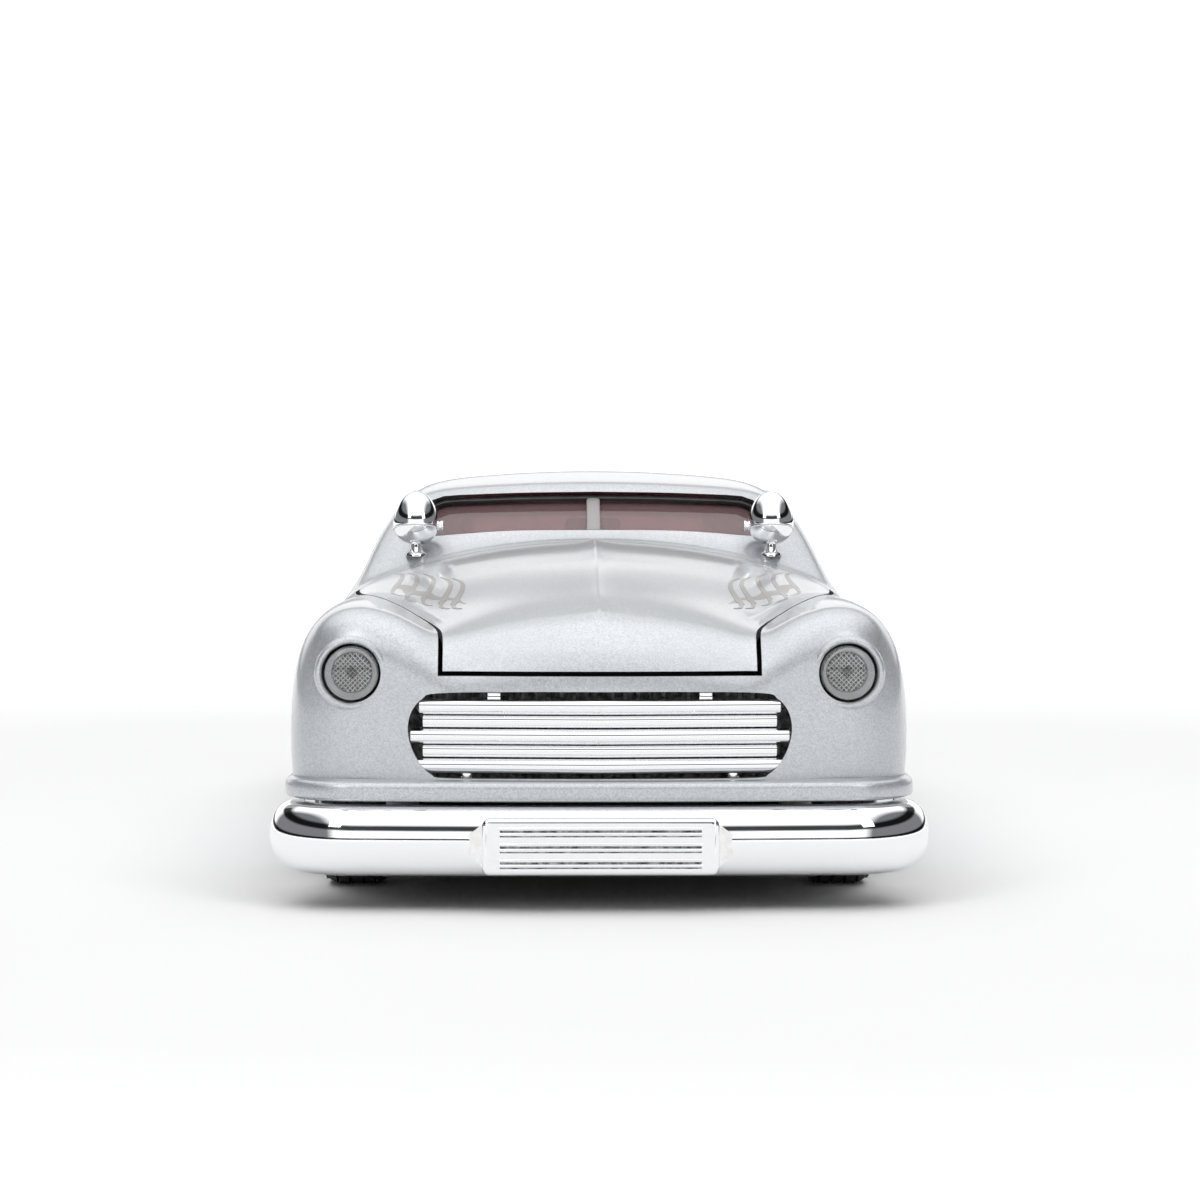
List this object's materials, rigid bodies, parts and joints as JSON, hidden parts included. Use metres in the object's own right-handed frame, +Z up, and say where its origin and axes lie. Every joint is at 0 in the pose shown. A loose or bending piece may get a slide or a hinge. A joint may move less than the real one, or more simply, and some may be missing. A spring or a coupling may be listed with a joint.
{
  "type": "diecast collector car",
  "caption": "Low, chopped coupe in 1:24 scale with an opening hood, doors and trunk lid, rolling wheels, a barred grille, chrome bumpers and dummy spotlights.",
  "frame": {"origin": "centre of the bounding box's plan, on the plane the tyres stand on", "axes": "+X to the driver's side, +Y towards the tail, +Z up; the nose points to -Y"},
  "size_m": [0.083, 0.2198, 0.0532],
  "materials": {
    "body_paint": "satin-gloss metallic silver with fine flake",
    "chassis_black": "satin black moulding",
    "interior_maroon": "semi-gloss maroon moulding",
    "chrome_plate": "bright vacuum-plated plastic",
    "clear_lens": "clear moulded plastic, faintly smoked",
    "red_lens": "clear red moulded plastic",
    "tyre_rubber": "soft matt black rubber with a pale sidewall band",
    "steel": "zinc-plated steel",
    "engine_metal": "satin cast-metal grey paint"
  },
  "bodies": {
    "body": {"body_shell": "body_paint", "chassis_pan": "chassis_black", "interior_tub": "interior_maroon", "front_bench": "interior_maroon", "rear_bench": "interior_maroon", "dashboard": "interior_maroon", "steering_wheel": "interior_maroon", "rear_view_mirror": "chrome_plate", "windshield_glass": "clear_lens", "rear_window_glass": "clear_lens", "grille": "chrome_plate", "front_bumper": "chrome_plate", "rear_bumper": "chrome_plate", "headlight_reflector_left": "chrome_plate", "headlight_reflector_right": "chrome_plate", "headlight_lens_left": "clear_lens", "headlight_lens_right": "clear_lens", "taillight_bezel_left": "chrome_plate", "taillight_bezel_right": "chrome_plate", "taillight_lens_left": "red_lens", "taillight_lens_right": "red_lens", "spotlight_left": "chrome_plate", "spotlight_right": "chrome_plate", "firewall": "chassis_black", "engine_block": "engine_metal", "valve_cover_left": "chrome_plate", "valve_cover_right": "chrome_plate", "air_cleaner": "chrome_plate", "cooling_fan": "chassis_black", "radiator": "chassis_black", "battery": "chassis_black", "trunk_tray": "chassis_black", "exhaust_pipe_left": "chrome_plate", "exhaust_pipe_right": "chrome_plate", "chassis_screw_front_left": "steel", "chassis_screw_front_right": "steel", "chassis_screw_rear_left": "steel", "chassis_screw_rear_right": "steel"},
    "hood": {"hood": "body_paint", "hood_hinge_left": "steel", "hood_hinge_right": "steel"},
    "trunk": {"trunk_lid": "body_paint", "trunk_hinge_left": "steel", "trunk_hinge_right": "steel"},
    "door_left": {"door_left": "body_paint", "door_card_left": "interior_maroon", "door_hinge_left": "steel"},
    "door_right": {"door_right": "body_paint", "door_card_right": "interior_maroon", "door_hinge_right": "steel"},
    "front_wheels": {"axle_front": "steel", "tyre_front_left": "tyre_rubber", "tyre_front_right": "tyre_rubber", "wheel_front_left": "chrome_plate", "wheel_front_right": "chrome_plate"},
    "rear_wheels": {"axle_rear": "steel", "tyre_rear_left": "tyre_rubber", "tyre_rear_right": "tyre_rubber", "wheel_rear_left": "chrome_plate", "wheel_rear_right": "chrome_plate"}
  },
  "joints": [
    {"name": "hood_hinge", "type": "hinge", "parent": "body", "child": "hood", "pos_m": [0, -0.038, 0.0439], "axis": [-1, 0, 0], "range_deg": [0, 50]},
    {"name": "trunk_hinge", "type": "hinge", "parent": "body", "child": "trunk", "pos_m": [0, 0.066, 0.04065], "axis": [1, 0, 0], "range_deg": [0, 50]},
    {"name": "door_left_hinge", "type": "hinge", "parent": "body", "child": "door_left", "pos_m": [0.03833, -0.027, 0.021], "axis": [0, 0, -1], "range_deg": [0, 60]},
    {"name": "door_right_hinge", "type": "hinge", "parent": "body", "child": "door_right", "pos_m": [-0.03833, -0.027, 0.021], "axis": [0, 0, 1], "range_deg": [0, 60]},
    {"name": "front_axle_spin", "type": "hinge", "parent": "body", "child": "front_wheels", "pos_m": [0, -0.073, 0.0132], "axis": [1, 0, 0], "continuous": true},
    {"name": "rear_axle_spin", "type": "hinge", "parent": "body", "child": "rear_wheels", "pos_m": [0, 0.052, 0.0132], "axis": [1, 0, 0], "continuous": true}
  ]
}
